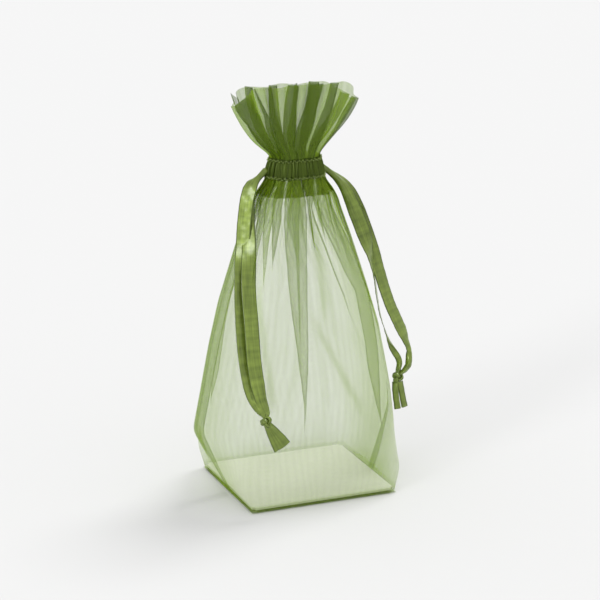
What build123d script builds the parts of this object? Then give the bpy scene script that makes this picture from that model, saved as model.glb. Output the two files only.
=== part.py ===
"""Sheer gusseted gift sack with a drawn neck, two ribbon pulls and a stiff base board.

Millimetres, +Z up. The origin is the centre of the base, on the surface the sack stands on.
-Y is the front. X runs between the two side seams.
"""
from build123d import *
from math import atan, degrees, pi, radians, tan
import os

os.makedirs("parts", exist_ok=True)

# ---- driving dimensions -------------------------------------------------------------------
BASE_WIDTH = 102.0  # the flat bottom, left to right
BASE_DEPTH = 92.0  # front to back
NECK_Z = 214.0  # middle of the drawstring channel
HEADER_TOP_Z = 268.0
LEFT_WING = 74.0  # the side seams stand out past the base where the boxed corners pull in
RIGHT_WING = 66.0
WING_Z = 45.0
NECK_SHIFT_Y = 4.0  # the neck gathers a little behind the centre of the base

RIBBON_WIDTH = 9.5
RIBBON_THICK = 0.6
WALL = 0.8  # one layer of organza, drawn thick enough to be a solid
GAP = 0.3  # between pieces that move apart
SKIN = 0.1  # between layers of one body

BASE_CLOTH = 1.0
BASE_CORNER = 3.0
BOARD_MARGIN = 1.5  # between the board's edge and the edge of the base
BOARD_THICK = 1.6
BOARD_CORNER = 2.0
SEAM_ALLOWANCE = 5.0
CORNER_SEAM_THICK = 0.6
BOARD_LOW_Z = BASE_CLOTH + CORNER_SEAM_THICK + GAP
BOARD_TOP_Z = BOARD_LOW_Z + BOARD_THICK

CHANNEL_HALF = 6.5  # half the height of the drawstring channel
CAVITY_OUT = 0.1  # offsets of the channel's pocket from the sack's outline
CAVITY_IN = -2.3
STITCH_THICK = 0.5  # half the height of a row of stitching, and how far it stands out
STITCH_INSET = 1.2  # from the edge of the channel to the middle of the row
FACING_DROP = 10.5  # how far the turned hem reaches below the channel
LEG_DIAMETER = 2.4  # each hanging ribbon, gathered to a round section
KNOT_RADIUS = 3.6
TAIL_LENGTH = 15.0
BEND_SHARE = 0.45  # part of the shorter run beside a corner of a leg that its arc takes up

CUTTER_SIZE = 400.0  # blocks that cut the sack in two reach well past it

# ---- shape of the sack -----------------------------------------------------------------------
# Each level is a six-sided outline: the two side seams stand out at the middle of the sides,
# and the four corners are rounded.
# (z, half width at the corners, half depth, corner radius, left seam, right seam)
CHANNEL_LOW_Z = NECK_Z - CHANNEL_HALF
CHANNEL_TOP_Z = NECK_Z + CHANNEL_HALF
HALF_W = BASE_WIDTH / 2
HALF_D = BASE_DEPTH / 2

BODY_LEVELS = [
    (BASE_CLOTH + GAP, HALF_W - 0.4, HALF_D, 3.5, HALF_W, HALF_W),
    (18.0, HALF_W + 4.0, HALF_D + 2.5, 5.0, HALF_W + 9.0, HALF_W + 6.0),
    (WING_Z, HALF_W - 1.0, HALF_D + 1.0, 8.0, LEFT_WING, RIGHT_WING),
    (66.0, HALF_W - 4.0, HALF_D - 2.0, 10.0, LEFT_WING - 4.5, RIGHT_WING - 1.0),
    (102.0, HALF_W - 10.0, HALF_D - 7.0, 14.0, LEFT_WING - 12.0, RIGHT_WING - 7.5),
    (130.0, HALF_W - 15.0, HALF_D - 13.0, 15.0, LEFT_WING - 19.0, RIGHT_WING - 16.0),
    (165.0, HALF_W - 23.5, HALF_D - 20.5, 14.0, LEFT_WING - 31.0, RIGHT_WING - 27.5),
    (195.0, 19.0, 18.0, 11.0, 31.0, 27.5),
    (CHANNEL_LOW_Z, 13.0, 13.0, 8.0, 20.5, 18.0),
    (NECK_Z, 11.0, 11.5, 7.5, 17.5, 15.0),
    (CHANNEL_TOP_Z, 10.5, 11.0, 7.0, 16.5, 14.5),
]
HEADER_LEVELS = [
    (CHANNEL_TOP_Z + SKIN, 10.5, 11.0, 7.0, 16.5, 14.5),
    (231.0, 17.0, 12.5, 8.5, 29.5, 25.7),
    (241.0, 23.5, 14.5, 10.0, 37.0, 34.2),
    (255.0, 31.5, 16.5, 12.0, 44.5, 42.5),
    (HEADER_TOP_Z, 35.0, 18.0, 13.0, 47.0, 44.5),
]
SEAM_TILT = degrees(atan(NECK_SHIFT_Y / NECK_Z))  # the side seams lean back with the neck

# ---- routes of the ribbon legs, from the channel's end to the knot ---------------------------
LEFT_KNOT = (-41.6, -48.2, 62.5)
RIGHT_KNOT = (58.5, -28.2, 73.3)
LEG_ROUTES = {
    "left_ribbon_outer_leg": [
        (-21.2, 2.4, 215.0),
        (-29.6, 0.8, 209.4),
        (-35.0, -0.6, 200.0),
        (-38.2, -2.6, 184.0),
        (-41.0, -6.4, 165.5),
        (-44.8, -14.0, 143.5),
        (-47.2, -21.4, 122.0),
        (-48.8, -30.6, 98.5),
        (-48.2, -40.6, 79.0),
        (-46.0, -44.8, 71.8),
        (-43.4, -47.4, 66.9),
    ],
    "left_ribbon_inner_leg": [
        (-21.6, 5.6, 213.4),
        (-29.0, 4.0, 206.8),
        (-32.8, 1.8, 198.0),
        (-35.6, -2.4, 182.0),
        (-38.2, -10.8, 164.5),
        (-42.0, -18.8, 142.0),
        (-43.4, -28.2, 120.8),
        (-45.2, -37.0, 96.5),
        (-44.2, -44.2, 78.0),
        (-42.2, -46.4, 71.2),
        (-40.2, -47.6, 66.9),
    ],
    "right_ribbon_inner_leg": [
        (17.8, 2.4, 213.8),
        (24.4, 0.8, 208.6),
        (32.0, -1.0, 198.0),
        (37.0, -3.4, 185.0),
        (42.0, -6.0, 171.0),
        (46.6, -9.4, 154.5),
        (49.2, -11.6, 137.0),
        (51.4, -11.4, 121.5),
        (53.4, -12.8, 109.5),
        (55.2, -17.0, 100.5),
        (58.0, -20.6, 93.0),
        (62.0, -24.4, 86.5),
        (62.4, -26.4, 81.4),
        (60.4, -27.0, 77.9),
    ],
    "right_ribbon_outer_leg": [
        (18.0, 5.6, 213.2),
        (25.8, 4.4, 208.0),
        (35.0, 2.4, 197.6),
        (40.6, 0.6, 185.0),
        (45.4, -1.6, 170.5),
        (50.4, -5.4, 154.0),
        (54.2, -10.0, 137.5),
        (57.6, -14.2, 122.5),
        (62.2, -18.4, 109.5),
        (66.6, -22.2, 98.5),
        (69.6, -24.6, 91.4),
        (69.0, -26.8, 86.0),
        (65.8, -28.8, 81.4),
        (62.6, -29.8, 77.2),
    ],
}
# each tail: the direction in which it leaves its knot, and the way its flat side faces
FACING_FRONT = (0, 1, 0)
FACING_SIDE = (0.9, -0.44, 0)
TAILS = {
    "left_ribbon_front_tail": (LEFT_KNOT, (0.62, -0.22, -0.75), FACING_FRONT),
    "left_ribbon_back_tail": (LEFT_KNOT, (0.34, 0.00, -0.94), FACING_FRONT),
    "right_ribbon_front_tail": (RIGHT_KNOT, (0.20, -0.12, -0.97), FACING_SIDE),
    "right_ribbon_back_tail": (RIGHT_KNOT, (-0.08, -0.30, -0.95), FACING_SIDE),
}


def section_at(levels, z, offset):
    """Six-sided outline of the sack at height z, moved outwards by offset."""
    low = max((lv for lv in levels if lv[0] <= z), default=levels[0])
    high = min((lv for lv in levels if lv[0] >= z), default=levels[-1])
    share = 0.0 if high[0] == low[0] else (z - low[0]) / (high[0] - low[0])
    half_w, half_d, corner, left, right = (
        low[i] + share * (high[i] - low[i]) + offset for i in range(1, 6)
    )
    outline = Polygon(
        (-left, 0),
        (-half_w, -half_d),
        (half_w, -half_d),
        (right, 0),
        (half_w, half_d),
        (-half_w, half_d),
        align=None,
    )
    rounded = [v for v in outline.vertices() if abs(v.Y) > half_d / 2]
    shift_y = NECK_SHIFT_Y * min(1.0, z / NECK_Z)
    return Pos(0, shift_y, z) * fillet(rounded, corner)


def solid_between(levels, z_low, z_high, offset):
    """Closed solid of the sack's outline from z_low to z_high."""
    inner = [lv[0] for lv in levels if z_low < lv[0] < z_high]
    heights = [z_low, *inner, z_high]
    return loft([section_at(levels, z, offset) for z in heights], ruled=True)


def band(levels, z_low, z_high, outer, inner):
    """Ring of cloth between two offsets of the sack's outline."""
    core = solid_between(levels, z_low, z_high, inner)
    return solid_between(levels, z_low, z_high, outer) - core


def front_and_rear(ring):
    """Cut a ring of cloth along the two side seams, with a running gap between the halves."""
    tilt = Rot(-SEAM_TILT, 0, 0)
    cutter = Box(CUTTER_SIZE, CUTTER_SIZE, 2 * CUTTER_SIZE)
    middle = (CUTTER_SIZE + GAP) / 2
    front_side = tilt * (Pos(0, -middle, 0) * cutter)
    rear_side = tilt * (Pos(0, middle, 0) * cutter)
    return ring & front_side, ring & rear_side


def save(shape, name):
    """Write one sub-part to its own STEP file."""
    export_step(shape, f"parts/{name}.step")


# ---- cloth ------------------------------------------------------------------------------------
def body_panels():
    """Front and rear organza panels, from the base to the channel."""
    low = BASE_CLOTH + GAP
    return front_and_rear(band(BODY_LEVELS, low, CHANNEL_LOW_Z - SKIN, 0.0, -WALL))


def facings():
    """Hem turned down inside the panels below the channel, which doubles the cloth there."""
    low = CHANNEL_LOW_Z - FACING_DROP
    ring = band(BODY_LEVELS, low, CHANNEL_LOW_Z - SKIN, -WALL - SKIN, -2 * WALL - SKIN)
    return front_and_rear(ring)


def channels():
    """Drawstring channels: two walls of gathered cloth with a pocket between them."""
    outside = band(BODY_LEVELS, CHANNEL_LOW_Z, CHANNEL_TOP_Z, CAVITY_OUT + WALL, CAVITY_IN - WALL)
    low = CHANNEL_LOW_Z + WALL
    high = CHANNEL_TOP_Z - WALL
    pocket = band(BODY_LEVELS, low, high, CAVITY_OUT, CAVITY_IN)
    return front_and_rear(outside - pocket)


def headers():
    """Ruffle that flares out above the channel."""
    low = CHANNEL_TOP_Z + SKIN
    return front_and_rear(band(HEADER_LEVELS, low, HEADER_TOP_Z, 0.0, -WALL))


def stitch_rows(z_middle):
    """One line of stitching round the outside of the channel."""
    low = z_middle - STITCH_THICK
    high = z_middle + STITCH_THICK
    outside = CAVITY_OUT + WALL + SKIN
    return front_and_rear(band(BODY_LEVELS, low, high, outside + STITCH_THICK, outside))


def channel_runs(outer):
    """A ribbon's run through the front and the rear channel."""
    half = RIBBON_WIDTH / 2
    inner = outer - RIBBON_THICK
    return front_and_rear(band(BODY_LEVELS, NECK_Z - half, NECK_Z + half, outer, inner))


def base_panel():
    """Bottom of the sack, flat on the surface it stands on."""
    outline = RectangleRounded(BASE_WIDTH, BASE_DEPTH, BASE_CORNER)
    return extrude(outline, BASE_CLOTH)


def corner_seam(side):
    """Seam allowance of a boxed corner, folded flat under the board's edge."""
    length = BASE_DEPTH - 4 * BASE_CORNER  # clear of the rounded corners
    middle = side * (HALF_W - BOARD_MARGIN - SEAM_ALLOWANCE / 2)
    z = BASE_CLOTH + SKIN + CORNER_SEAM_THICK / 2
    return Pos(middle, 0, z) * Box(SEAM_ALLOWANCE, length, CORNER_SEAM_THICK)


def side_seam(side):
    """Seam allowance up the middle of a side, inside the front panel."""
    z_low = BOARD_TOP_Z + 2 * GAP
    z_high = CHANNEL_LOW_Z - FACING_DROP - GAP
    outside = band(BODY_LEVELS, z_low, z_high, -WALL - GAP, -2 * WALL - GAP)
    strip = Box(CUTTER_SIZE, SEAM_ALLOWANCE, 2 * CUTTER_SIZE)
    place = Pos(side * CUTTER_SIZE / 2, -GAP - SEAM_ALLOWANCE / 2, 0)
    return outside & (Rot(-SEAM_TILT, 0, 0) * place * strip)


def base_board():
    """Loose stiff card that holds the bottom flat."""
    outline = RectangleRounded(
        BASE_WIDTH - 2 * BOARD_MARGIN, BASE_DEPTH - 2 * BOARD_MARGIN, BOARD_CORNER
    )
    return Pos(0, 0, BOARD_LOW_Z) * extrude(outline, BOARD_THICK)


# ---- ribbons ----------------------------------------------------------------------------------
def corner_radii(route):
    """Arc at each corner of a route, as large as its two runs allow."""
    points = [Vector(*p) for p in route]
    radii = []
    for before, here, after in zip(points, points[1:], points[2:]):
        turn = (here - before).get_angle(after - here)
        shorter = min((here - before).length, (after - here).length)
        radii.append(BEND_SHARE * shorter / tan(radians(turn) / 2))
    return radii


def ribbon_leg(name):
    """Round tube along one hanging leg, straight runs joined by tangent arcs."""
    route = LEG_ROUTES[name]
    radii = corner_radii(route)
    path = FilletPolyline(*route, radius=radii)
    start = Plane(origin=path @ 0, z_dir=path % 0)
    tube = sweep(start * Circle(LEG_DIAMETER / 2), path=path)
    expected = pi * LEG_DIAMETER**2 / 4 * path.length
    print(name, "length", round(path.length, 1), "tube/section x length",
          round(tube.volume / expected, 4), "radii", [round(r, 1) for r in radii])
    return tube


def knot(centre):
    """Overhand knot that joins the two legs of a ribbon."""
    return Pos(*centre) * Sphere(KNOT_RADIUS)


def ribbon_tail(centre, direction, faces):
    """Short cut end of ribbon below a knot."""
    along = Vector(*direction).normalized()
    start = Vector(*centre) + along * (KNOT_RADIUS + GAP)
    across = Vector(*faces).cross(along).normalized()
    frame = Plane(origin=start, x_dir=across, z_dir=along)
    return extrude(frame * Rectangle(RIBBON_WIDTH, RIBBON_THICK), TAIL_LENGTH)


# ---- assembly ---------------------------------------------------------------------------------
PAIRS = {
    "panel": body_panels(),
    "facing": facings(),
    "channel": channels(),
    "header": headers(),
    "upper_stitching": stitch_rows(CHANNEL_TOP_Z - STITCH_INSET),
    "lower_stitching": stitch_rows(CHANNEL_LOW_Z + STITCH_INSET),
}
for name, (front, rear) in PAIRS.items():
    save(front, f"front_{name}")
    save(rear, f"rear_{name}")

RUN_OFFSETS = {"left": -0.2, "right": -1.3}  # the two ribbons lie side by side in the pocket
for side_name, outer in RUN_OFFSETS.items():
    front, rear = channel_runs(outer)
    save(front, f"{side_name}_ribbon_front_run")
    save(rear, f"{side_name}_ribbon_rear_run")

save(base_panel(), "base_panel")
save(base_board(), "base_board")
for side_name, side in {"left": -1, "right": 1}.items():
    save(side_seam(side), f"{side_name}_side_seam")
    save(corner_seam(side), f"{side_name}_corner_seam")

for name in LEG_ROUTES:
    save(ribbon_leg(name), name)
save(knot(LEFT_KNOT), "left_ribbon_knot")
save(knot(RIGHT_KNOT), "right_ribbon_knot")
for name, tail in TAILS.items():
    save(ribbon_tail(*tail), name)
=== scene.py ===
"""Looks of the sheer gift sack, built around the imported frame. Lengths are in metres, +Z up, -Y front."""
from math import cos, pi, radians, sin, tan

import bmesh
import bpy
import numpy as np
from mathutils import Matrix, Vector
from mathutils.bvhtree import BVHTree


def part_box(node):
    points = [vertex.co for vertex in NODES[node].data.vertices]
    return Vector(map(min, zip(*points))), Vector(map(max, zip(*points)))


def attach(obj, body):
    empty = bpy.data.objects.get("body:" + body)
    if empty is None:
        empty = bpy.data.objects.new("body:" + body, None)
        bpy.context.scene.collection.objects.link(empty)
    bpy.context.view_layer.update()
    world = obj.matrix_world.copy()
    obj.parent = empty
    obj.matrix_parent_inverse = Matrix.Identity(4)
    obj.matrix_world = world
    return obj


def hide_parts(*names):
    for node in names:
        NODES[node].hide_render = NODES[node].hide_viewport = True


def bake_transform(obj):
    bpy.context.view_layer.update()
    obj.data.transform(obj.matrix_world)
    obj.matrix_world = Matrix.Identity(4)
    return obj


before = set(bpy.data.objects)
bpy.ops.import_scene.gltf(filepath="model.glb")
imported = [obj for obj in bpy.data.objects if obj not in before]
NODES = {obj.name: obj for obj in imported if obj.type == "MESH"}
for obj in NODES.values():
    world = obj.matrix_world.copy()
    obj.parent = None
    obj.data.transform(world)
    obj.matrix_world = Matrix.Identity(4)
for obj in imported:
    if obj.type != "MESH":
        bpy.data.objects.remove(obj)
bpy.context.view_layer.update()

MM = 0.001
TINY = 1e-6

# ---- sizes read from the frame ----
BASE_LOW, BASE_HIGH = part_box("base_panel")
BASE_WIDTH = BASE_HIGH[0] - BASE_LOW[0]
BASE_DEPTH = BASE_HIGH[1] - BASE_LOW[1]
BODY_LOW_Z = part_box("front_panel")[0][2]
CHANNEL_LOW_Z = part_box("front_channel")[0][2]
CHANNEL_TOP_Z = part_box("front_channel")[1][2]
FACING_LOW_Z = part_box("front_facing")[0][2]
HEADER_TOP_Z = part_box("front_header")[1][2]
NECK_Z = (CHANNEL_LOW_Z + CHANNEL_TOP_Z) / 2
NECK_SHIFT_Y = 0.004  # how far the neck stands behind the middle of the base

CLOTH_WIDTH = 0.205  # one panel, cut flat, from side seam to side seam
RIBBON_WIDTH = 0.0095
FINE_STEP = 0.00125  # between the rows of a cloth mesh where it is ruffled

# ---- routes of the ribbon legs, as in the CAD ----
LEG_ROUTES = {
    "left_ribbon_outer_leg": [
        (-0.0212, 0.0024, 0.2150), (-0.0296, 0.0008, 0.2094), (-0.0350, -0.0006, 0.2000),
        (-0.0382, -0.0026, 0.1840), (-0.0410, -0.0064, 0.1655), (-0.0448, -0.0140, 0.1435),
        (-0.0472, -0.0214, 0.1220), (-0.0488, -0.0306, 0.0985), (-0.0482, -0.0406, 0.0790),
        (-0.0460, -0.0448, 0.0718), (-0.0434, -0.0474, 0.0669),
    ],
    "left_ribbon_inner_leg": [
        (-0.0216, 0.0056, 0.2134), (-0.0290, 0.0040, 0.2068), (-0.0328, 0.0018, 0.1980),
        (-0.0356, -0.0024, 0.1820), (-0.0382, -0.0108, 0.1645), (-0.0420, -0.0188, 0.1420),
        (-0.0434, -0.0282, 0.1208), (-0.0452, -0.0370, 0.0965), (-0.0442, -0.0442, 0.0780),
        (-0.0422, -0.0464, 0.0712), (-0.0402, -0.0476, 0.0669),
    ],
    "right_ribbon_inner_leg": [
        (0.0178, 0.0024, 0.2138), (0.0244, 0.0008, 0.2086), (0.0320, -0.0010, 0.1980),
        (0.0370, -0.0034, 0.1850), (0.0420, -0.0060, 0.1710), (0.0466, -0.0094, 0.1545),
        (0.0492, -0.0116, 0.1370), (0.0514, -0.0114, 0.1215), (0.0534, -0.0128, 0.1095),
        (0.0552, -0.0170, 0.1005), (0.0580, -0.0206, 0.0930), (0.0620, -0.0244, 0.0865),
        (0.0624, -0.0264, 0.0814), (0.0604, -0.0270, 0.0779),
    ],
    "right_ribbon_outer_leg": [
        (0.0180, 0.0056, 0.2132), (0.0258, 0.0044, 0.2080), (0.0350, 0.0024, 0.1976),
        (0.0406, 0.0006, 0.1850), (0.0454, -0.0016, 0.1705), (0.0504, -0.0054, 0.1540),
        (0.0542, -0.0100, 0.1375), (0.0576, -0.0142, 0.1225), (0.0622, -0.0184, 0.1095),
        (0.0666, -0.0222, 0.0985), (0.0696, -0.0246, 0.0914), (0.0690, -0.0268, 0.0860),
        (0.0658, -0.0288, 0.0814), (0.0626, -0.0298, 0.0772),
    ],
}


# ---- small helpers ----
def smoothstep(low, high, x):
    t = np.clip((np.asarray(x, float) - low) / (high - low), 0, 1)
    return t * t * (3 - 2 * t)


def bell(x, width):
    """1 at zero, falling off smoothly on both sides."""
    return np.exp(-((x / width) ** 2))


def unit(vectors):
    return vectors / np.linalg.norm(vectors, axis=-1, keepdims=True)


def new_object(name, data):
    obj = bpy.data.objects.new(name, data)
    bpy.context.scene.collection.objects.link(obj)
    return obj


def mesh_object(name, points, faces, uvs=None, attributes=None):
    """New smooth-shaded mesh object. uvs and attributes hold one value for each point."""
    mesh = bpy.data.meshes.new(name)
    mesh.from_pydata([tuple(p) for p in points], [], [tuple(f) for f in faces])
    mesh.polygons.foreach_set("use_smooth", np.ones(len(mesh.polygons), bool))
    if uvs is not None:
        layer = mesh.uv_layers.new(name="cloth")
        corner_points = np.zeros(len(mesh.loops), int)
        mesh.loops.foreach_get("vertex_index", corner_points)
        layer.data.foreach_set("uv", np.asarray(uvs, np.float32)[corner_points].ravel())
    for label, values in (attributes or {}).items():
        layer = mesh.attributes.new(label, "FLOAT", "POINT")
        layer.data.foreach_set("value", np.asarray(values, np.float32).ravel())
    mesh.update()
    return new_object(name, mesh)


def grid_faces(rows, columns, wrap=False):
    """Quads of a grid of rows x columns points, closed along the columns where wrap is true."""
    faces = []
    for i in range(rows - 1):
        for j in range(columns if wrap else columns - 1):
            k = (j + 1) % columns
            faces.append((i * columns + j, i * columns + k, (i + 1) * columns + k, (i + 1) * columns + j))
    return faces


def grid_object(name, grid, uvs=None, attributes=None, wrap=False):
    """Mesh object from an array of rows x columns x 3 points."""
    rows, columns = grid.shape[:2]
    flat_uvs = None if uvs is None else np.asarray(uvs).reshape(-1, 2)
    flat = {k: np.asarray(v).ravel() for k, v in (attributes or {}).items()}
    return mesh_object(name, grid.reshape(-1, 3), grid_faces(rows, columns, wrap), flat_uvs, flat)


# ---- materials ----
class Nodes:
    """Short way to add and link shader nodes."""

    def __init__(self, name):
        self.material = bpy.data.materials.new(name)
        self.material.use_nodes = True
        self.tree = self.material.node_tree
        self.tree.nodes.clear()

    def add(self, kind, inputs=None, **settings):
        """New node. inputs gives its sockets by name or number, each a value or another node's output."""
        node = self.tree.nodes.new("ShaderNode" + kind)
        for key, value in settings.items():
            setattr(node, key, value)
        for key, value in (inputs or {}).items():
            if isinstance(value, bpy.types.NodeSocket):
                self.tree.links.new(value, node.inputs[key])
            else:
                node.inputs[key].default_value = value
        return node

    def math(self, operation, *values):
        return self.add("Math", dict(enumerate(values)), operation=operation).outputs[0]

    def mixed(self, share, first, second):
        """The first shader, with the given share of the second."""
        return self.add("MixShader", {0: share, 1: first, 2: second}).outputs[0]

    def cloth(self, scale=(1, 1, 1)):
        """Fabric coordinates from the piece's own map, in metres along the weft and the warp."""
        source = self.add("UVMap", uv_map="cloth").outputs["UV"]
        return self.add("Mapping", {"Vector": source, "Scale": scale}).outputs["Vector"]

    def cloth_noise(self, stretch, scale=1.0, detail=2.0):
        """Noise laid on the cloth, finer along the axis with the larger stretch."""
        return self.add("TexNoise", {"Vector": self.cloth(stretch), "Scale": scale, "Detail": detail},
                        noise_dimensions="2D").outputs["Fac"]

    def object_noise(self, scale, detail=2.0):
        place = self.add("TexCoord").outputs["Object"]
        return self.add("TexNoise", {"Vector": place, "Scale": scale, "Detail": detail}).outputs["Fac"]

    def wave(self, axis, inputs):
        return self.add("TexWave", inputs, wave_type="BANDS", bands_direction=axis,
                        wave_profile="SIN").outputs["Fac"]

    def bump(self, height, strength, distance):
        inputs = {"Height": height, "Strength": strength, "Distance": distance}
        return self.add("Bump", inputs).outputs["Normal"]

    def finished(self, shader):
        """The material, with this shader on its surface."""
        self.add("OutputMaterial", {"Surface": shader})
        return self.material

    def principled(self, inputs):
        return self.finished(self.add("BsdfPrincipled", inputs).outputs[0])


def organza(name, density, colour, dark_colour, fold_shade_strength=0.35):
    """Sheer cloth. Each layer hides the share `density` of what is behind it, and more at
    its creases and gathers. Its colour darkens towards dark_colour along creases and in folds as painted shade;
    the last argument is how much darker, as painted shade, a fold is than the flat cloth."""
    nodes = Nodes(name)
    # threads across and along, uneven in thickness
    threads = nodes.math("ADD", nodes.cloth_noise((90, 1500, 1)), nodes.cloth_noise((1500, 70, 1)))
    # watered silk effect, where the fine weaves of two layers beat
    moire = nodes.wave("X", {"Vector": nodes.cloth((1, 0.45, 1)), "Scale": 60.0, "Distortion": 9.0,
                             "Detail": 1.5, "Detail Scale": 0.6})
    patches = nodes.cloth_noise((1, 1, 1), scale=38.0)
    crease, fold, gather = (nodes.add("Attribute", attribute_name=label).outputs["Fac"]
                            for label in ("crease", "fold", "gather"))
    # what adds to the cover: a source, its middle value and its weight
    cover = density
    for source, middle, weight in (
        (threads, 1.0, 0.07),
        (moire, 0.5, 0.035),
        (patches, 0.5, 0.05),
        (crease, 0.0, 0.22),
        (gather, 0.0, 0.42),
    ):
        change = nodes.math("MULTIPLY", nodes.math("SUBTRACT", source, middle), weight)
        cover = nodes.math("ADD", cover, change)
    cover = nodes.math("MINIMUM", nodes.math("MAXIMUM", cover, 0.05), 0.97)
    # painted shade: the cloth colour darkens towards dark_colour along creases and in folds, where shade falls between
    # the layers
    painted_fold_shade = nodes.math("ADD", crease, nodes.math("MULTIPLY", fold, fold_shade_strength))
    tint = nodes.add("Mix", {"Factor": nodes.math("MINIMUM", painted_fold_shade, 1.0), "A": (*colour, 1),
                             "B": (*dark_colour, 1)}, data_type="RGBA").outputs["Result"]
    front = nodes.add("BsdfDiffuse", {"Color": tint}).outputs[0]
    through = nodes.add("BsdfTranslucent", {"Color": tint}).outputs[0]
    gloss = nodes.add("BsdfAnisotropic", {"Color": (0.72, 0.95, 0.28, 1), "Roughness": 0.38}).outputs[0]
    shiny = nodes.mixed(0.06, nodes.mixed(0.5, front, through), gloss)
    return nodes.finished(nodes.mixed(cover, nodes.add("BsdfTransparent").outputs[0], shiny))


def satin(name, colour, dark_colour):
    """Satin ribbon: fine ribs across, lengthwise streaks, and a painted sheen in its colour that comes and goes along
    it.
    """
    nodes = Nodes(name)
    ribs = nodes.wave("Y", {"Vector": nodes.cloth(), "Scale": 900.0, "Distortion": 1.0})
    streaks = nodes.cloth_noise((900, 45, 1), detail=3.0)
    # painted sheen: lighter and darker bands along the ribbon, painted into its colour
    painted_glints = nodes.cloth_noise((30, 240, 1), detail=4.0)
    shade = nodes.math("ADD", streaks, nodes.math("SUBTRACT", painted_glints, 0.5))
    # the woven edges are darker
    across = nodes.add("SeparateXYZ", {0: nodes.cloth()}).outputs["X"]
    from_middle = nodes.math("ABSOLUTE", nodes.math("SUBTRACT", across, RIBBON_WIDTH / 2))
    edge = nodes.math("GREATER_THAN", from_middle, RIBBON_WIDTH * 0.45)
    shade = nodes.math("SUBTRACT", shade, nodes.math("MULTIPLY", edge, 0.7))
    tint = nodes.add("Mix", {"Factor": shade, "A": (*dark_colour, 1), "B": (*colour, 1)}, data_type="RGBA")
    return nodes.principled({
        "Base Color": tint.outputs["Result"], "Metallic": 0.4, "Roughness": 0.34, "Coat Weight": 0.8,
        "Coat Roughness": 0.22, "Anisotropic": 0.5, "Specular Tint": (0.80, 1.0, 0.35, 1),
        "Normal": nodes.bump(ribs, 0.25, 0.00008),
    })


def thread(name, colour):
    """Sewing thread with a fine twist."""
    nodes = Nodes(name)
    return nodes.principled({"Base Color": (*colour, 1), "Roughness": 0.6, "Sheen Weight": 0.3,
                             "Normal": nodes.bump(nodes.object_noise(2500.0), 0.4, 0.0001)})


def card(name, dark_colour, colour):
    """Pale card of the base board, with paper fibre."""
    nodes = Nodes(name)
    fibre = nodes.object_noise(420.0, detail=5.0)
    ramp = nodes.add("ValToRGB", {"Fac": fibre})
    for stop, shade in zip(ramp.color_ramp.elements, (dark_colour, colour)):
        stop.color = (*shade, 1)
    return nodes.principled({"Base Color": ramp.outputs["Color"], "Roughness": 0.7,
                             "Normal": nodes.bump(fibre, 0.2, 0.0002)})


# each cloth: density, colour, and the darker colour of painted shade along its creases and in its folds
ORGANZA = organza("organza", 0.21, (0.235, 0.36, 0.006), (0.15, 0.24, 0.004))
ORGANZA_DOUBLED = organza("organza_doubled", 0.48, (0.19, 0.30, 0.006), (0.12, 0.20, 0.004))
# painted shade: the facing's colour is darkened for light lost under the channel and in the layers stacked there
ORGANZA_FACING = organza("organza_facing", 0.50, (0.10, 0.175, 0.006), (0.055, 0.10, 0.004))
# painted shade: the header's folds are darkened strongly, for shade between their layers
ORGANZA_HEADER = organza("organza_header", 0.50, (0.215, 0.34, 0.010), (0.080, 0.138, 0.006), fold_shade_strength=0.85)
# painted shade: the channel's colour is darkened for light lost in its gathered layers
ORGANZA_CHANNEL = organza("organza_channel", 0.82, (0.085, 0.135, 0.010), (0.030, 0.052, 0.005))
# satin: colour, and the darker colour of its streaks, its woven edges and the dark side of its painted sheen
SATIN = satin("satin", (0.225, 0.305, 0.045), (0.065, 0.100, 0.010))
THREAD = thread("thread", (0.20, 0.28, 0.04))
CARD = card("card", (0.58, 0.59, 0.51), (0.67, 0.68, 0.61))


# ---- outline of the sack, read from the CAD ----
SHARES = 241  # samples along one half of the outline, seam to seam
RAYS = 120  # rays that find one half of the outline
LEVEL_STEP = 0.003  # between the heights at which the outline is read
LEVEL_BLUR = 0.0035  # reach of the smoothing from level to level


def cad_tree(name):
    """Ray-casting tree of a CAD node."""
    mesh = NODES[name].data
    return BVHTree.FromPolygons([v.co for v in mesh.vertices], [tuple(p.vertices) for p in mesh.polygons])


def centre_y(z):
    """The sack leans back a little from its base to its neck."""
    return NECK_SHIFT_Y * np.clip(np.asarray(z, float) / NECK_Z, 0, 1)


def half_outline(tree, z, front):
    """One half of the outer outline at height z, from the left seam to the right, evenly spaced."""
    near_seam = radians(1.5)
    outside = 0.3
    middle = Vector((0, float(centre_y(z)), z))
    found = []
    for angle in np.linspace(pi - near_seam, near_seam, RAYS):
        way = Vector((cos(angle), -sin(angle) if front else sin(angle), 0))
        hit = tree.ray_cast(middle + way * outside, -way)[0]
        found.append((hit.x, hit.y) if hit else (np.nan, np.nan))
    found = np.array(found)
    found = found[~np.isnan(found[:, 0])]
    # the last stretch at each end goes on straight to the seam
    most_steps = 6
    for end, inner in ((0, 1), (-1, -2)):
        run = found[end] - found[inner]
        to_seam = (middle.y - found[end][1]) / run[1] if abs(run[1]) > TINY else 0
        seam = found[end] + run * np.clip(to_seam, 0, most_steps)
        found = np.vstack([[seam], found]) if end == 0 else np.vstack([found, [seam]])
    along = np.r_[0, np.cumsum(np.linalg.norm(np.diff(found, axis=0), axis=1))]
    even = np.linspace(0, along[-1], SHARES)
    return np.c_[np.interp(even, along, found[:, 0]), np.interp(even, along, found[:, 1])]


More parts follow.
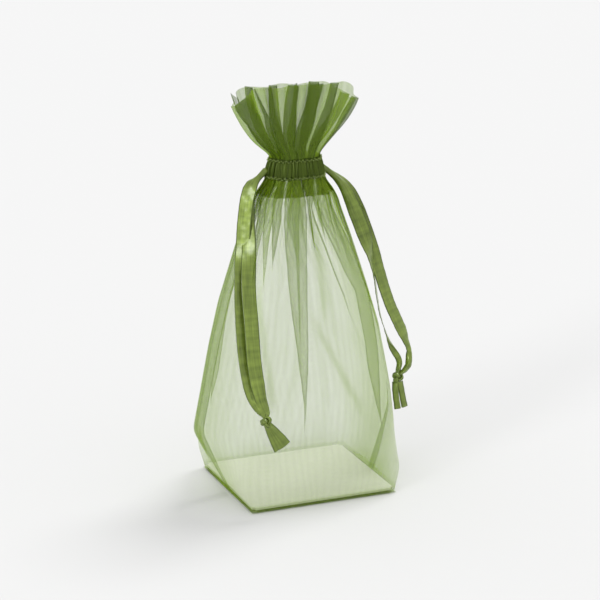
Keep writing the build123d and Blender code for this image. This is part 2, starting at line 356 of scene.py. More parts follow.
def outline_table(half):
    """Heights and outlines of one half of the sack, smoothed upwards so that no level shows.

    The outline is read from the panel and the header; the channel between them bridges the two."""
    at_rim, at_channel = 0.0002, 0.0004
    heights, rows = [], []
    for part, low, high in (
        ("panel", BODY_LOW_Z + at_rim, CHANNEL_LOW_Z - at_channel),
        ("header", CHANNEL_TOP_Z + at_channel, HEADER_TOP_Z - at_rim),
    ):
        tree = cad_tree(f"{half}_{part}")
        for z in np.linspace(low, high, round((high - low) / LEVEL_STEP)):
            heights.append(z)
            rows.append(half_outline(tree, z, half == "front"))
    heights, rows = np.array(heights), np.array(rows)
    apart = heights[:, None] - heights[None, :]
    weights = np.exp(-((apart / LEVEL_BLUR) ** 2))
    # next to an end the window stays symmetric, so that the rim keeps its place
    edge = np.minimum(heights - heights[0], heights[-1] - heights)
    weights *= np.abs(apart) <= np.maximum(edge, 10 * TINY)[:, None] + TINY
    weights /= weights.sum(axis=1, keepdims=True)
    return heights, np.einsum("ij,jkl->ikl", weights, rows)


TABLES = {half: outline_table(half) for half in ("front", "rear")}


def outline_length(half, z):
    """Length of one half of the outline, from seam to seam."""
    heights, rows = TABLES[half]
    lengths = np.linalg.norm(np.diff(rows, axis=1), axis=2).sum(axis=1)
    return np.interp(z, heights, lengths)


def on_outline(half, z, share):
    """Points on the sack's outline and their outward directions, for arrays of heights and shares."""
    heights, rows = TABLES[half]
    z, share = np.broadcast_arrays(np.asarray(z, float), np.asarray(share, float))
    i = np.clip(np.searchsorted(heights, z) - 1, 0, len(heights) - 2)
    tz = np.clip((z - heights[i]) / (heights[i + 1] - heights[i]), 0, 2)[..., None]
    place = np.clip(share, 0, 1) * (SHARES - 1)
    j = np.clip(place.astype(int), 0, SHARES - 2)
    ts = (place - j)[..., None]

    def row(k):
        return rows[k, j] * (1 - ts) + rows[k, j + 1] * ts

    def slope(k):
        span = 3  # samples on each side, which keeps the directions smooth
        return rows[k, np.minimum(j + 1 + span, SHARES - 1)] - rows[k, np.maximum(j - span, 0)]

    xy = row(i) * (1 - tz) + row(i + 1) * tz
    along = slope(i) * (1 - tz) + slope(i + 1) * tz
    along = unit(along)
    side = 1.0 if half == "front" else -1.0
    outward = np.stack([side * along[..., 1], -side * along[..., 0]], axis=-1)
    return np.concatenate([xy, z[..., None]], axis=-1), outward


# ---- pleated cloth ----
LEAST_EASE = 1.02  # cloth that lies on the outline, over the outline's own length
CREASE_SOFTNESS = 0.0005
CREASE_WIDTH = 0.0011
FULL_HEIGHT_WIDTH = 0.006  # a fold at least this wide stands out by the whole depth
FULL_CREASE_WIDTH = 0.004
TUCK_WIDTH = 0.002  # a narrower fold is a tuck, which stands up a little more


class Pleat:
    """Fold of three layers. Each stop gives a height, in mm, the share of the outline it lies
    at there and its width, in mm. turn is 1 or -1: the side on which the top layer ends."""

    def __init__(self, stops, turn):
        stops = sorted(stops)
        self.z = np.array([s[0] for s in stops]) * MM
        self.share = np.array([s[1] for s in stops])
        self.width = np.array([s[2] for s in stops]) * MM
        self.turn = turn

    def at(self, z):
        return float(np.interp(z, self.z, self.share)), float(np.interp(z, self.z, self.width))


def pleated_row(half, z, pleats, columns, depth):
    """One row of cloth at height z. For points evenly spaced across the cut cloth, it gives the share
    of the outline, the offset outwards, how near a crease the point is and how far inside a fold."""
    length = float(outline_length(half, z))
    placed = sorted(((*p.at(z), p.turn) for p in pleats), key=lambda item: item[0])
    folded = sum(2 * w for _, w, _ in placed)
    # the folds share out the cloth that the outline doesn't need
    room = CLOTH_WIDTH - LEAST_EASE * length
    squeeze = max(min(1.0, room / folded), 0.0) if folded > 0 else 1.0
    ease = (CLOTH_WIDTH - folded * squeeze) / length
    u = np.linspace(0, CLOTH_WIDTH, columns)
    place = u.copy()
    offset = np.zeros_like(u)
    crease = np.zeros_like(u)
    fold = np.zeros_like(u)
    used = 0.0
    for share, width, turn in placed:
        width *= squeeze
        if width < TINY:
            continue
        middle = ease * share * length + used + width
        used += 2 * width
        first, last = u - (middle - width / 2), u - (middle + width / 2)
        place -= (first + np.hypot(first, CREASE_SOFTNESS)) - (last + np.hypot(last, CREASE_SOFTNESS))
        reach = 0.5 * width + 0.0010
        height = depth(z) * min(1.0, width / FULL_HEIGHT_WIDTH) + 0.12 * width * (width < TUCK_WIDTH)
        offset += turn * height * (bell(first, reach) - bell(last, reach))
        strength = min(1.0, width / FULL_CREASE_WIDTH)
        # the crease mask makes the cloth denser at each fold edge, and darkens its colour there as painted shade
        crease += strength * (bell(first, CREASE_WIDTH) + bell(last, CREASE_WIDTH))
        # the fold mask only darkens the cloth's colour inside a fold, as painted shade
        fold = np.maximum(fold, strength * (1 - smoothstep(1.3 * width, 1.7 * width, np.abs(u - middle))))
    place -= place[0]
    return place / place[-1], offset, np.clip(crease, 0, 1), fold


def pleated_sheet(name, half, heights, pleats, depth, relief, columns=360, inset=0.0004, rim=None,
                  gather=None, seam_ease=0.03):
    """Sheet of cloth on the sack's outline, seam to seam, with real overlapping folds.

    depth(z) is how far the layers of a fold stand apart. relief, rim and gather are functions of
    height, share of the outline and, but for rim, fabric coordinate: they give the offset
    outwards, the height at which the cloth really lies, and how bunched it is. The offset fades
    out over seam_ease, a share of the outline, next to each seam."""
    share = np.zeros((len(heights), columns))
    offset, crease, fold = share.copy(), share.copy(), share.copy()
    for i, z in enumerate(heights):
        share[i], offset[i], crease[i], fold[i] = pleated_row(half, z, pleats, columns, depth)
    u_grid, z_grid = np.meshgrid(np.linspace(0, CLOTH_WIDTH, columns), heights)
    offset = offset + relief(z_grid, share, u_grid)
    at_seam = smoothstep(0, seam_ease, share) * smoothstep(0, seam_ease, 1 - share)
    z_place = z_grid if rim is None else rim(z_grid, share)
    points, outward = on_outline(half, z_place, share)
    points[..., :2] += outward * (offset * at_seam - inset)[..., None]
    uvs = np.stack([u_grid, z_grid], axis=-1)
    gathered = np.zeros_like(share) if gather is None else gather(z_grid, share, u_grid)
    return grid_object(name, points, uvs, {"crease": crease, "fold": fold, "gather": gathered})


def body_gather(seed, creases=()):
    """Where the body's cloth is bunched: close streaks under the neck, the sides, and the foot."""
    rng = np.random.default_rng(seed)
    streaks = [(rng.uniform(90, 420), rng.uniform(0, 2 * pi), rng.uniform(4, 14)) for _ in range(7)]
    bunches = [(rng.uniform(25, 70), rng.uniform(0, 2 * pi), rng.uniform(-9, 9)) for _ in range(4)]

    def soft_crease(stops, z, share):
        """A soft fold along stops of (height in mm, share), fading at both ends."""
        width, fade_length = 0.0028, 0.02
        heights = np.array([height for height, _ in stops]) * MM
        line = np.interp(z, heights, [at for _, at in stops])
        fade = smoothstep(heights[0], heights[0] + fade_length, z)
        fade = fade * (1 - smoothstep(heights[-1] - fade_length, heights[-1], z))
        return fade * bell((share - line) * outline_length("front", z), width)

    def gather(z, share, u):
        streak = sum(np.sin(2 * pi * k * u + p + np.sin(q * z * 4)) for k, p, q in streaks) / 3.2
        bunch = sum(np.sin(2 * pi * k * u + p + q * z) for k, p, q in bunches) / 2.2
        neck = smoothstep(0.135, 0.204, z)
        sides = (1 - smoothstep(0.0, 0.20, share)) + 1.25 * smoothstep(0.74, 0.96, share)
        foot = 0.2 * (1 - smoothstep(0.002, 0.016, z)) + 0.5 * bell(z - 0.0045, 0.0007)
        soft = 0.13 * np.clip(bunch, 0, 1) * smoothstep(0.03, 0.09, z)
        soft = soft + 0.5 * sum(soft_crease(stops, z, share) for stops in creases)
        return np.clip(neck * (0.26 + 0.50 * streak) + 0.55 * sides + foot + soft, 0, 1.2)

    return gather


def body_heights():
    """Heights of the rows of a panel, closer together under the neck."""
    low, first, ruffled = BODY_LOW_Z - 0.0006, 0.004, 0.190
    ruffles = np.arange(ruffled, CHANNEL_LOW_Z, FINE_STEP)
    return np.r_[low, np.arange(first, ruffled, 0.002), ruffles, CHANNEL_LOW_Z]


# Folds that run down from the neck
FRONT_PLEATS = [
    Pleat([(207, 0.10, 9), (196, 0.12, 10), (182, 0.145, 9.4), (150, 0.165, 6), (120, 0.18, 2.5), (100, 0.185, 0)], 1),
    Pleat([(207, 0.24, 8), (196, 0.26, 7.6), (184, 0.275, 7.2), (168, 0.277, 4), (153, 0.278, 0)], -1),
    Pleat([(207, 0.40, 12), (195, 0.41, 15.5), (184, 0.4155, 17), (150, 0.421, 14.5), (118, 0.428, 10),
           (95, 0.433, 6.5), (68, 0.438, 3.4), (38, 0.436, 0)], 1),
    Pleat([(207, 0.54, 7), (190, 0.530, 3.6), (172, 0.538, 2.2), (156, 0.541, 0)], -1),
    Pleat([(207, 0.60, 5), (190, 0.549, 1.6), (164, 0.606, 1.8), (134, 0.654, 1.6), (100, 0.68, 0)], 1),
    Pleat([(207, 0.74, 11), (192, 0.655, 10), (182, 0.665, 11.5), (165, 0.700, 12), (148, 0.722, 11), (136, 0.742, 9),
           (110, 0.728, 8.5), (84, 0.716, 8.5), (62, 0.712, 6), (42, 0.715, 0)], 1),
    Pleat([(207, 0.90, 9), (190, 0.90, 7), (165, 0.93, 4), (126, 0.94, 2), (110, 0.945, 0)], -1),
]
REAR_PLEATS = [
    Pleat([(207, 0.10, 10), (184, 0.12, 8), (150, 0.14, 4), (125, 0.15, 0)], 1),
    Pleat([(207, 0.26, 9), (184, 0.28, 9), (150, 0.275, 7), (110, 0.28, 6.5), (66, 0.283, 6.5), (42, 0.285, 0)], 1),
    Pleat([(207, 0.42, 10), (184, 0.40, 8), (165, 0.41, 6), (140, 0.43, 3), (120, 0.44, 0)], -1),
    Pleat([(207, 0.58, 12), (184, 0.60, 11), (165, 0.605, 8), (140, 0.61, 5), (90, 0.61, 2), (60, 0.61, 0)], 1),
    Pleat([(207, 0.74, 9), (184, 0.76, 6), (165, 0.77, 3), (150, 0.775, 0)], -1),
    Pleat([(207, 0.90, 9), (184, 0.90, 6), (160, 0.92, 3), (135, 0.93, 0)], -1),
]
# Soft folds across the front: (height in mm, share of the outline)
FRONT_CREASES = [
    [(110, 0.53), (130, 0.551), (158, 0.556), (192, 0.531)],
    [(50, 0.66), (66, 0.631), (88, 0.579), (110, 0.52), (128, 0.485)],
    [(58, 0.335), (86, 0.303), (118, 0.258), (150, 0.20)],
]
BODY_HALVES = (("front", FRONT_PLEATS, FRONT_CREASES, 3), ("rear", REAR_PLEATS, (), 8))
INNER_LAYER = 0.0011  # how far inside the outline a second layer lies
TUCKS_LOW = 192  # mm, where the short tucks under the channel run out
PANEL_TUCKS = 11
CHANNEL_TUCKS = 14
STITCH_LEVELS = (0.09, 0.91)  # the two rows of stitching, as shares of the channel's height


def small_tucks(seed):
    """Short tucks just below the channel."""
    rng = np.random.default_rng(seed)
    made = []
    for i in range(PANEL_TUCKS):
        share = (i + 0.5 + rng.uniform(-0.3, 0.3)) / PANEL_TUCKS
        low = TUCKS_LOW + rng.uniform(-5, 7)
        made.append(Pleat([(207, share, rng.uniform(2.4, 4.4)), (low, share + rng.uniform(-0.01, 0.01), 0)],
                          1 if rng.random() < 0.5 else -1))
    return made


def channel_tucks(seed):
    """Close tucks right through the channel, leaning a little one way or the other."""
    rng = np.random.default_rng(seed)
    made = []
    for i in range(CHANNEL_TUCKS):
        share = (i + 0.5 + rng.uniform(-0.25, 0.25)) / CHANNEL_TUCKS
        width = rng.uniform(3.6, 6.6)
        made.append(Pleat([(207, share, width), (221, share + rng.uniform(-0.02, 0.02), width)],
                          1 if rng.random() < 0.5 else -1))
    return made


def body_depth(z):
    """How far the layers of a body fold stand apart: most in the middle of the sack's height."""
    return 0.0006 + 0.0010 * smoothstep(0.04, 0.12, z) - 0.0006 * smoothstep(0.19, 0.207, z)


def body_relief(seed):
    """Soft waves of the cloth: slow billows low down, close ruffles under the neck."""
    rng = np.random.default_rng(seed)
    waves = [(rng.uniform(1.5, 4.5), rng.uniform(0, 2 * pi), rng.uniform(12, 30), rng.uniform(0.3, 0.8))
             for _ in range(5)]
    ruffles = [(rng.uniform(14, 30), rng.uniform(0, 2 * pi), rng.uniform(0.10, 0.22)) for _ in range(5)]

    def relief(z, share, u):
        slow = sum(a * MM * np.sin(2 * pi * k * share + p + q * z) for k, p, q, a in waves)
        quick = sum(a * MM * np.sin(2 * pi * k * share + p) for k, p, a in ruffles)
        low = smoothstep(BODY_LOW_Z, 0.03, z) * (1 - smoothstep(0.17, 0.2, z))
        return slow * low + quick * smoothstep(0.15, 0.20, z)

    return relief


def ride_across_seam(obj):
    """Bakes the cloth piece's placement into its points."""
    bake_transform(obj)


def finish_piece(obj, material):
    obj.data.materials.clear()
    obj.data.materials.append(material)


# ---- camera, floor and light ----
def make_stage():
    bpy.ops.mesh.primitive_plane_add(size=30, location=(0, 0, 0))
    floor = bpy.context.object
    floor.name = "floor"
    nodes = Nodes("floor")
    shader = nodes.add("BsdfDiffuse", {"Color": (0.60, 0.60, 0.60, 1)})
    floor.data.materials.append(nodes.finished(shader.outputs[0]))
    world = bpy.data.worlds.new("studio")
    bpy.context.scene.world = world
    world.use_nodes = True
    background = world.node_tree.nodes["Background"]
    background.inputs["Color"].default_value = (1, 1, 1, 1)
    background.inputs["Strength"].default_value = 0.93
    # a high key light from the right, behind the sack, and a low fill light from the left front
    for name, azimuth, elevation, strength, width in (
        ("key", 62, 62, 1.78, 20),
        ("front_fill", -118, 24, 0.85, 16),
    ):
        lamp = bpy.data.lights.new(name, "SUN")
        lamp.energy = strength
        lamp.angle = radians(width)
        obj = new_object(name, lamp)
        obj.location = (sin(radians(azimuth)), cos(radians(azimuth)), tan(radians(elevation)))
        obj.rotation_euler = (-obj.location).to_track_quat("-Z", "Y").to_euler()


def make_camera():
    azimuth, elevation, distance = radians(-22.2), radians(16.5), 1.5
    target = Vector((0, 0, 0.130))  # half way up the sack
    back = Vector((sin(azimuth) * cos(elevation), -cos(azimuth) * cos(elevation), sin(elevation)))
    data = bpy.data.cameras.new("camera")
    data.lens = 138.7
    data.shift_x = 0.0027
    data.shift_y = -0.0125
    obj = new_object("camera", data)
    obj.location = target + back * distance
    obj.rotation_euler = (-back).to_track_quat("-Z", "Y").to_euler()
    bpy.context.scene.camera = obj


# ---- ribbons ----
def spline_points(name, route):
    """Points along the smooth NURBS line of a route."""
    curve = bpy.data.curves.new(name + "_line", "CURVE")
    curve.dimensions = "3D"
    curve.resolution_u = 10
    spline = curve.splines.new("NURBS")
    spline.points.add(len(route) - 1)
    for point, place in zip(spline.points, route):
        point.co = (*place, 1)
    spline.order_u = 3
    spline.use_endpoint_u = True
    obj = new_object(name + "_line", curve)
    mesh = bpy.data.meshes.new_from_object(obj)
    points = np.array([v.co for v in mesh.vertices])
    bpy.data.objects.remove(obj)
    bpy.data.meshes.remove(mesh)
    return points


def ribbon_strip(name, line, facing, widths, crown=0.04):
    """Flat ribbon along a line. facing and widths are lists of (share of the length, value).

    A facing value is the direction of the ribbon's face, as (azimuth, elevation) in degrees, where
    azimuth 0 is the front and positive turns to the right. A width value is a share of the
    ribbon's width, and crown is how much its face bows across."""
    thickness, columns = 0.00035, 15
    line = np.asarray(line)
    steps = np.linalg.norm(np.diff(line, axis=0), axis=1)
    along = np.r_[0, np.cumsum(steps)]
    share = along / along[-1]
    tangent = unit(np.gradient(line, axis=0))

    def at_share(stops):
        return np.interp(share, [stop for stop, _ in stops], [value for _, value in stops])

    azimuth = np.radians(at_share([(stop, turn) for stop, (turn, _) in facing]))
    elevation = np.radians(at_share([(stop, tilt) for stop, (_, tilt) in facing]))
    face = np.c_[np.sin(azimuth) * np.cos(elevation), -np.cos(azimuth) * np.cos(elevation), np.sin(elevation)]
    face = unit(face - (face * tangent).sum(axis=1, keepdims=True) * tangent)
    across = np.cross(tangent, face)
    width = at_share(widths) * RIBBON_WIDTH
    t = np.linspace(-0.5, 0.5, columns)
    # a narrower ribbon is a ribbon that closes lengthwise, like a gutter
    closing = np.clip(1 - width / RIBBON_WIDTH, 0, 0.9)[:, None]
    sag = -(crown + 0.9 * closing) * RIBBON_WIDTH * (2 * t[None, :]) ** 2 * 0.5
    waves = 0.00008 * (np.sin(along * 420) + np.sin(along * 1130 + 2))
    ripple = waves[:, None] * np.cos(t * 7)[None, :]
    front = line[:, None, :] + across[:, None, :] * (t[None, :] * width[:, None])[..., None]
    front = front + face[:, None, :] * (sag + ripple + thickness / 2)[..., None]
    back = front - face[:, None, :] * thickness
    ring = np.concatenate([front, back[:, ::-1]], axis=1)
    u = np.concatenate([t + 0.5, (t + 0.5)[::-1]]) * RIBBON_WIDTH
    uvs = np.stack(np.broadcast_arrays(u[None, :], along[:, None]), axis=-1)
    obj = grid_object(name, ring, uvs, wrap=True)
    mesh = bmesh.new()
    mesh.from_mesh(obj.data)
    mesh.verts.ensure_lookup_table()
    # close the two ends
    size = 2 * columns
    for row in (0, len(line) - 1):
        first = row * size
        for k in range(columns - 1):
            corners = [first + c for c in (k, k + 1, size - 2 - k, size - 1 - k)]
            corners = corners[::-1] if row == 0 else corners
            mesh.faces.new([mesh.verts[c] for c in corners]).smooth = True
    bmesh.ops.recalc_face_normals(mesh, faces=mesh.faces)
    mesh.to_mesh(obj.data)
    mesh.free()
    return obj


# Where each leg's ribbon faces, and how far it is open: narrow in the channel and at the knot
LEG_FACES = {
    "left_ribbon_outer_leg": [(0, (-60, 60)), (0.05, (-50, 50)), (0.09, (-44, 26)), (0.34, (-42, 14)),
                              (0.44, (-8, 5)), (0.85, (-2, 5)), (1, (-30, 5))],
    "left_ribbon_inner_leg": [(0, (-40, 60)), (0.1, (-44, 24)), (0.32, (-42, 12)), (0.46, (-10, 0)),
                              (0.85, (-14, 0)), (1, (0, 0))],
    "right_ribbon_inner_leg": [(0, (0, 70)), (0.08, (-10, 45)), (0.18, (-30, 15)), (0.32, (-22, 0)),
                               (0.44, (40, 0)), (0.52, (62, 0)), (0.82, (66, 0)), (0.9, (30, 15)), (1, (-20, 10))],
    "right_ribbon_outer_leg": [(0, (0, 70)), (0.08, (-20, 40)), (0.2, (-36, 14)), (0.32, (-20, 4)), (0.42, (0, 0)),
                               (0.52, (20, 0)), (0.8, (30, 0)), (0.88, (50, 20)), (0.94, (-30, 25)), (1, (-10, 0))],
}
RIGHT_WIDTHS = [(0, 0.35), (0.08, 0.45), (0.18, 0.85), (0.26, 1.0), (0.78, 1.0), (0.9, 0.55), (1, 0.3)]
LEG_WIDTHS = {
    "left_ribbon_outer_leg": [(0, 0.35), (0.05, 0.42), (0.085, 0.85), (0.11, 1.0), (0.86, 1.0),
                              (0.95, 0.7), (1, 0.34)],
    "left_ribbon_inner_leg": [(0, 0.35), (0.10, 0.42), (0.2, 0.8), (0.3, 1.0), (0.86, 0.95),
                              (0.95, 0.7), (1, 0.34)],
    "right_ribbon_inner_leg": RIGHT_WIDTHS,
    "right_ribbon_outer_leg": RIGHT_WIDTHS,
}


def node_centre(name):
    low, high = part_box(name)
    return (Vector(low) + Vector(high)) / 2


def knot_piece(name, side):
    """Overhand knot: a trefoil of creased ribbon, pulled tight. side is 1 on the left, -1 on the right."""
    centre = node_centre(name)
    radius = (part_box(name)[1][0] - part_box(name)[0][0]) / 2
    scale, thick = radius * 0.27, radius * 0.40
    steps, around = 150, 20
    flatness, breadth = 0.72, 1.15
    t = np.linspace(0, 2 * pi, steps, endpoint=False)

    def trefoil(t):
        return np.c_[np.sin(t) + 2 * np.sin(2 * t), -1.25 * np.sin(3 * t), np.cos(t) - 2 * np.cos(2 * t)]

    line = trefoil(t) * scale
    tangent = unit(trefoil(t + 0.01) - trefoil(t - 0.01))
    outward = unit(line - (line * tangent).sum(axis=1, keepdims=True) * tangent)
    beside = np.cross(tangent, outward)
    a = np.linspace(0, 2 * pi, around, endpoint=False)
    creased = thick * (1 + 0.16 * np.cos(5 * a[None, :] + 3 * np.sin(t)[:, None]))
    section = (flatness * np.cos(a)[None, :, None] * outward[:, None]
               + breadth * np.sin(a)[None, :, None] * beside[:, None])
    rings = line[:, None] + creased[..., None] * section
    tilt = radians(24 * side)
    lean = np.array([[cos(tilt), 0, -sin(tilt)], [0, 1, 0], [sin(tilt), 0, cos(tilt)]])
    rings = rings @ lean.T + np.array(centre)
    rings = np.concatenate([rings, rings[:1]], axis=0)
    u = np.linspace(0, RIBBON_WIDTH, around)[None, :]
    v = np.linspace(0, 0.05, steps + 1)[:, None]
    return grid_object(name + "_turns", rings, np.stack(np.broadcast_arrays(u, v), axis=-1), wrap=True)


def tail_piece(name, twin, knot_name, facing, spread):
    """Cut end of ribbon below a knot. It leaves close to its twin, and opens towards its cut
    edge: a little where spread is 0, and nearly flat where it is 1."""
    from_middle, length, bow, points = 0.0028, 0.0178, 0.0009, 23
    knot = node_centre(knot_name)
    direction = (node_centre(name) - knot).normalized() * 0.7 + (node_centre(twin) - knot).normalized() * 0.3
    direction.normalize()
    side = Vector((direction.y, -direction.x, 0.3)).normalized()
    line = [tuple(knot + direction * (from_middle + length * share) + side * bow * sin(3.0 * share))
            for share in np.linspace(0, 1, points)]
    widths = [(0, 0.34), (0.3, 0.4 + 0.2 * spread), (0.7, 0.4 + 0.48 * spread), (1, 0.42 + 0.53 * spread)]
    return ribbon_strip(name + "_strip", line, facing, widths, crown=0.15)


def make_ribbons():
    """Knots, tails and hanging legs, and the satin of the runs inside the channel."""
    tail_faces = {
        "left": {"front": [(0, (-30, 10)), (1, (-12, 10))], "back": [(0, (0, 10)), (1, (22, 10))]},
        "right": {"front": [(0, (-50, 10)), (1, (-50, 10))], "back": [(0, (20, 10)), (1, (30, 0))]},
    }
    for side, lean, spread in (("left", 1, 1.0), ("right", -1, 0.1)):
        knot_node = f"{side}_ribbon_knot"
        knot = knot_piece(knot_node, lean)
        finish_piece(knot, SATIN)
        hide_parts(knot_node)
        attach(knot, f"{side}_knot")
        for which, other in (("front", "back"), ("back", "front")):
            node = f"{side}_ribbon_{which}_tail"
            facing = tail_faces[side][which]
            tail = tail_piece(node, f"{side}_ribbon_{other}_tail", knot_node, facing, spread)
            finish_piece(tail, SATIN)
            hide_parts(node)
            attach(tail, f"{side}_knot")
        for which in ("outer", "inner"):
            node = f"{side}_ribbon_{which}_leg"
            line = spline_points(node, LEG_ROUTES[node])
            # the ribbon goes on into the knot, out of sight
            into_knot = np.linspace(line[-1], np.array(node_centre(knot_node)), 7)[1:5]
            leg = ribbon_strip(node + "_strip", np.vstack([line, into_knot]), LEG_FACES[node],
                               LEG_WIDTHS[node])
            finish_piece(leg, SATIN)
            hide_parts(node)
            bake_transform(leg)
        for which in ("front", "rear"):
            run = NODES[f"{side}_ribbon_{which}_run"]
            run.data.materials.clear()
            run.data.materials.append(SATIN)


# ---- cloth pieces ----
def make_body():
    """Front and rear panel, the front one with the seam allowances of both sides."""
    heights = body_heights()
    for half, pleats, creases, seed in BODY_HALVES:
        sheet = pleated_sheet(f"{half}_panel_cloth", half, heights, pleats + small_tucks(seed), body_depth,
                              body_relief(seed), gather=body_gather(seed, creases))
        finish_piece(sheet, ORGANZA)
        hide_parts(f"{half}_panel")
        ride_across_seam(sheet)
        make_seams() if half == "front" else []


def header_rim(middle_drop):
    """The rim drops towards the two side seams and by middle_drop between them, a little unevenly."""

    def rim(z, share):
        rise = smoothstep(CHANNEL_TOP_Z, HEADER_TOP_Z, z)
        left, right = 1 - smoothstep(0.0, 0.22, share), smoothstep(0.72, 1.0, share)
        drop = 0.0115 * left + 0.0135 * right + middle_drop * (1 - left) * (1 - right)
        return z - rise * (drop + 0.0006 * (1 + np.sin(share * 23)))

    return rim


FRONT_HEADER_PLEATS = [
    Pleat([(221, 0.10, 9), (232, 0.125, 11), (250, 0.135, 12), (264, 0.088, 12), (268, 0.085, 12)], -1),
    Pleat([(221, 0.21, 8), (234, 0.222, 6), (250, 0.235, 4), (268, 0.19, 1.5)], 1),
    Pleat([(221, 0.31, 8), (230, 0.306, 8), (248, 0.288, 6), (268, 0.283, 5)], -1),
    Pleat([(221, 0.38, 9), (228, 0.37, 9), (250, 0.400, 8), (268, 0.427, 5.6)], 1),
    Pleat([(221, 0.50, 11), (230, 0.49, 12), (246, 0.525, 13.5), (264, 0.566, 13), (268, 0.57, 13)], -1),
    Pleat([(221, 0.64, 9), (226, 0.64, 9), (246, 0.655, 6), (262, 0.675, 5), (268, 0.68, 5)], 1),
    Pleat([(221, 0.84, 9), (234, 0.85, 9), (250, 0.90, 7), (268, 0.92, 5)], 1),
]
REAR_HEADER_PLEATS = [
    Pleat([(221, 0.10, 9), (234, 0.11, 10), (250, 0.12, 8), (268, 0.12, 7)], 1),
    Pleat([(221, 0.24, 9), (234, 0.25, 10), (250, 0.26, 8), (268, 0.27, 6)], -1),
    Pleat([(221, 0.40, 10), (234, 0.40, 10), (250, 0.41, 8), (268, 0.42, 6)], -1),
    Pleat([(221, 0.55, 10), (234, 0.55, 10), (250, 0.56, 8), (268, 0.57, 7)], 1),
    Pleat([(221, 0.70, 10), (234, 0.70, 10), (250, 0.69, 8), (268, 0.69, 6)], -1),
    Pleat([(221, 0.86, 9), (234, 0.87, 10), (250, 0.89, 8), (268, 0.90, 7)], 1),
]


def header_depth(z):
    """How far the layers of a header fold stand apart: more towards the rim."""
    return 0.0007 + 0.0024 * smoothstep(CHANNEL_TOP_Z, HEADER_TOP_Z, z)


def header_relief(seed):
    """Soft waves of the header, growing towards the rim."""
    rng = np.random.default_rng(seed)
    waves = [(rng.uniform(3, 8), rng.uniform(0, 2 * pi), rng.uniform(0.3, 0.9)) for _ in range(4)]

    def relief(z, share, u):
        slow = sum(a * MM * np.sin(2 * pi * k * share + p) for k, p, a in waves)
        return slow * smoothstep(CHANNEL_TOP_Z, HEADER_TOP_Z, z) * 1.4

    return relief


def header_gather(seed):
    """Where the header is bunched: in streaks, and most next to the channel."""
    rng = np.random.default_rng(seed)
    streaks = [(rng.uniform(60, 260), rng.uniform(0, 2 * pi)) for _ in range(6)]

    def gather(z, share, u):
        streak = sum(np.sin(2 * pi * k * u + p) for k, p in streaks) / 3
        return np.clip(0.55 - 0.45 * smoothstep(CHANNEL_TOP_Z, 0.245, z) + 0.16 * streak, 0, 1)

    return gather


def make_header():
    """Open frill above the channel."""
    heights = np.r_[np.arange(CHANNEL_TOP_Z, HEADER_TOP_Z, 0.0012), HEADER_TOP_Z]
    for half, pleats, drop, seed in (("front", FRONT_HEADER_PLEATS, -0.002, 5),
                                     ("rear", REAR_HEADER_PLEATS, 0.004, 6)):
        sheet = pleated_sheet(f"{half}_header_cloth", half, heights, pleats, header_depth,
                              header_relief(seed), rim=header_rim(drop), gather=header_gather(seed), seam_ease=0.10)
        finish_piece(sheet, ORGANZA_HEADER)
        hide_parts(f"{half}_header")
        ride_across_seam(sheet)


def make_facings():
    """Second layer just under the channel, inside the panels and folded with them."""
    heights = np.arange(FACING_LOW_Z, CHANNEL_LOW_Z + 0.0001, FINE_STEP)
    for half, pleats, _, seed in BODY_HALVES:
        sheet = pleated_sheet(f"{half}_facing_cloth", half, heights, pleats + small_tucks(seed), body_depth,
                              body_relief(seed), inset=INNER_LAYER, gather=body_gather(seed))
        finish_piece(sheet, ORGANZA_FACING)
        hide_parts(f"{half}_facing")
        ride_across_seam(sheet)


def channel_relief(seed):
    """The channel swells over the ribbons and is drawn in at its two rows of stitching."""
    rng = np.random.default_rng(seed)
    puckers = [(rng.uniform(9, 26), rng.uniform(0, 2 * pi), rng.uniform(0.10, 0.22), rng.uniform(-120, 120))
               for _ in range(6)]

    def relief(z, share, u):
        level = (z - CHANNEL_LOW_Z) / (CHANNEL_TOP_Z - CHANNEL_LOW_Z)
        swell = 0.0007 * np.sin(pi * np.clip((level - 0.08) / 0.84, 0, 1))
        rows = sum(bell(level - at, 0.05) for at in STITCH_LEVELS)
        wave = sum(a * MM * np.sin(2 * pi * k * share + p + q * (z - NECK_Z)) for k, p, a, q in puckers)
        frill = 0.0008 * np.sin(2 * pi * 37 * share + 1.3 * np.sin(2 * pi * 9 * share)) * rows
        return swell - 0.0005 * rows + wave + frill

    return relief


def make_channels():
    """Gathered channel, with the ribbons inside it."""
    heights = np.linspace(CHANNEL_LOW_Z, CHANNEL_TOP_Z, 27)
    for half, seed in (("front", 11), ("rear", 12)):
        sheet = pleated_sheet(f"{half}_channel_cloth", half, heights, channel_tucks(seed), lambda z: 0.0006,
                              channel_relief(seed), columns=480, inset=0.0)
        finish_piece(sheet, ORGANZA_CHANNEL)
        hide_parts(f"{half}_channel")
        ride_across_seam(sheet)


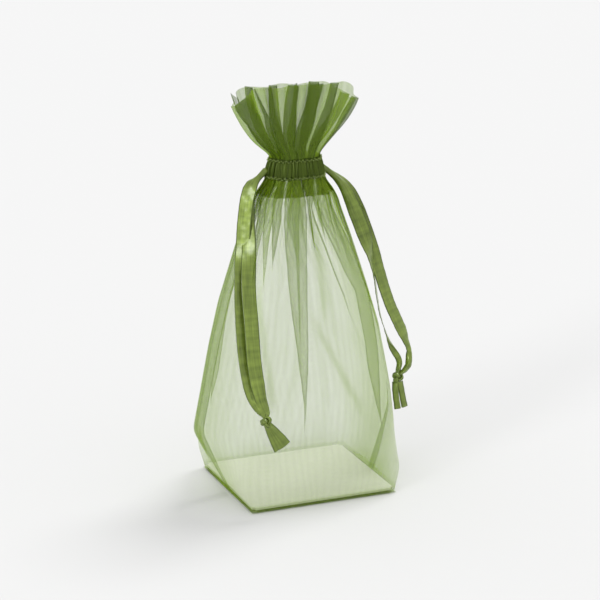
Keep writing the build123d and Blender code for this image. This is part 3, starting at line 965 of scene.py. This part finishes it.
def make_stitch_rows():
    """Running stitches round the top and bottom of the channel, each arched out of the cloth."""
    count, steps, around, radius = 34, 7, 6, 0.00026
    arch = np.sin(np.linspace(0, pi, steps))
    angles = 2 * pi * np.arange(around) / around
    for half in ("front", "rear"):
        for row, level, seed in zip(("lower", "upper"), STITCH_LEVELS, (22, 21)):
            z_row = CHANNEL_LOW_Z + (CHANNEL_TOP_Z - CHANNEL_LOW_Z) * level
            rng = np.random.default_rng(seed)
            points, faces = [], []
            for i in range(count):
                share = np.linspace((i + 0.12) / count, (i + 0.88) / count, steps)
                slant = 0.0007 * rng.uniform(-1, 1) * np.linspace(-1, 1, steps)
                bow = 0.0005 * arch * (1 if i % 2 else -1)
                line, outward = on_outline(half, z_row + slant + bow, share)
                line[:, :2] += outward * (0.0004 + 0.0009 * arch)[:, None]
                sideways = np.c_[outward, np.zeros(steps)][:, None] * np.cos(angles)[None, :, None]
                upwards = np.array((0, 0, 1)) * np.sin(angles)[None, :, None]
                ring = line[:, None] + radius * (sideways + upwards)
                faces += [tuple(len(points) + k for k in f) for f in grid_faces(steps, around, wrap=True)]
                points += list(ring.reshape(-1, 3))
            obj = mesh_object(f"{half}_{row}_stitches", points, faces)
            finish_piece(obj, THREAD)
            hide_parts(f"{half}_{row}_stitching")
            ride_across_seam(obj)


def make_seams():
    """Seam allowance down each side, inside the front panel, with its two lines of stitching."""
    step, width = 0.002, 0.0085
    heights = np.r_[np.arange(BODY_LOW_Z + step, FACING_LOW_Z, step), FACING_LOW_Z]
    u, z = np.meshgrid(np.linspace(0, width, 14), heights)
    stitching = bell(u - 0.0022, 0.0005) + bell(u - width, 0.0007)
    made = []
    for side in ("left", "right"):
        reach = u / outline_length("front", z)
        points, outward = on_outline("front", z, reach if side == "left" else 1 - reach)
        points[..., :2] -= outward * INNER_LAYER
        obj = grid_object(f"{side}_seam_allowance", points, np.stack([u, z], axis=-1), {"crease": stitching})
        finish_piece(obj, ORGANZA_DOUBLED)
        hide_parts(f"{side}_side_seam")
        ride_across_seam(obj)
        made.append(obj)
    return made


def make_base():
    """Bottom cloth, with the seam allowance of the boxed corners under the board's ends."""
    half_x, half_y = BASE_WIDTH / 2 - 0.0006, BASE_DEPTH / 2 - 0.0002
    x, y = np.meshgrid(np.linspace(-half_x, half_x, 52), np.linspace(-half_y, half_y, 47))
    rim = np.minimum(BASE_WIDTH / 2 - np.abs(x), BASE_DEPTH / 2 - np.abs(y))
    z = 0.0007 - 0.0004 * smoothstep(0, 0.004, rim) + 0.00015 * np.sin(x * 410 + 2) * np.sin(y * 330)
    sheet = grid_object("base_panel_cloth", np.stack([x, y, np.maximum(z, 0.0001)], axis=-1),
                        np.stack([x, y], axis=-1),
                        {"crease": bell(rim, 0.0012), "gather": np.full_like(x, 0.3)})
    finish_piece(sheet, ORGANZA)
    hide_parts("base_panel")
    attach(sheet, "sack")
    for side in ("left", "right"):
        node = f"{side}_corner_seam"
        low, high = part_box(node)
        x, y = np.meshgrid(np.linspace(low[0], high[0], 8), np.linspace(low[1], high[1], 60))
        u = x - low[0]
        z = (low[2] + high[2]) / 2 + 0.00018 * np.sin(y * 500) * np.cos(u * 300)
        obj = grid_object(node + "_cloth", np.stack([x, y, z], axis=-1), np.stack([u, y], axis=-1),
                          {"crease": bell(u - 0.0025, 0.0004)})
        finish_piece(obj, ORGANZA_DOUBLED)
        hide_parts(node)
        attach(obj, "sack")


def make_board():
    """Stiff card, its corners and edges just rounded by use."""
    low, high = (Vector(v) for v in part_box("base_board"))
    bpy.ops.mesh.primitive_cube_add(size=1, location=(low + high) / 2)
    board = bpy.context.object
    board.name = "base_board_card"
    board.scale = high - low
    bpy.ops.object.transform_apply(location=True, scale=True, rotation=False)
    corner_radius, edge_radius = 0.002, 0.00025
    mesh = bmesh.new()
    mesh.from_mesh(board.data)
    upright = [e for e in mesh.edges if abs(e.verts[0].co.z - e.verts[1].co.z) > (high.z - low.z) / 2]
    bmesh.ops.bevel(mesh, geom=upright, offset=corner_radius, segments=5, affect="EDGES")
    # the edges round the top and bottom face
    flat = [e for e in mesh.edges if abs(e.verts[0].co.z - e.verts[1].co.z) < TINY
            and len(e.link_faces) == 2 and abs(e.link_faces[0].normal.z - e.link_faces[1].normal.z) > 0.5]
    bmesh.ops.bevel(mesh, geom=flat, offset=edge_radius, segments=2, affect="EDGES")
    mesh.to_mesh(board.data)
    mesh.free()
    finish_piece(board, CARD)
    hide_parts("base_board")
    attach(board, "board")


make_camera()
make_stage()
make_ribbons()
make_base()
make_board()
make_body()
make_facings()
make_channels()
make_header()
make_stitch_rows()

scene = bpy.context.scene
scene.view_settings.view_transform = "Standard"
scene.view_settings.look = "None"
scene.cycles.transparent_max_bounces = 48
scene.cycles.transmission_bounces = 16
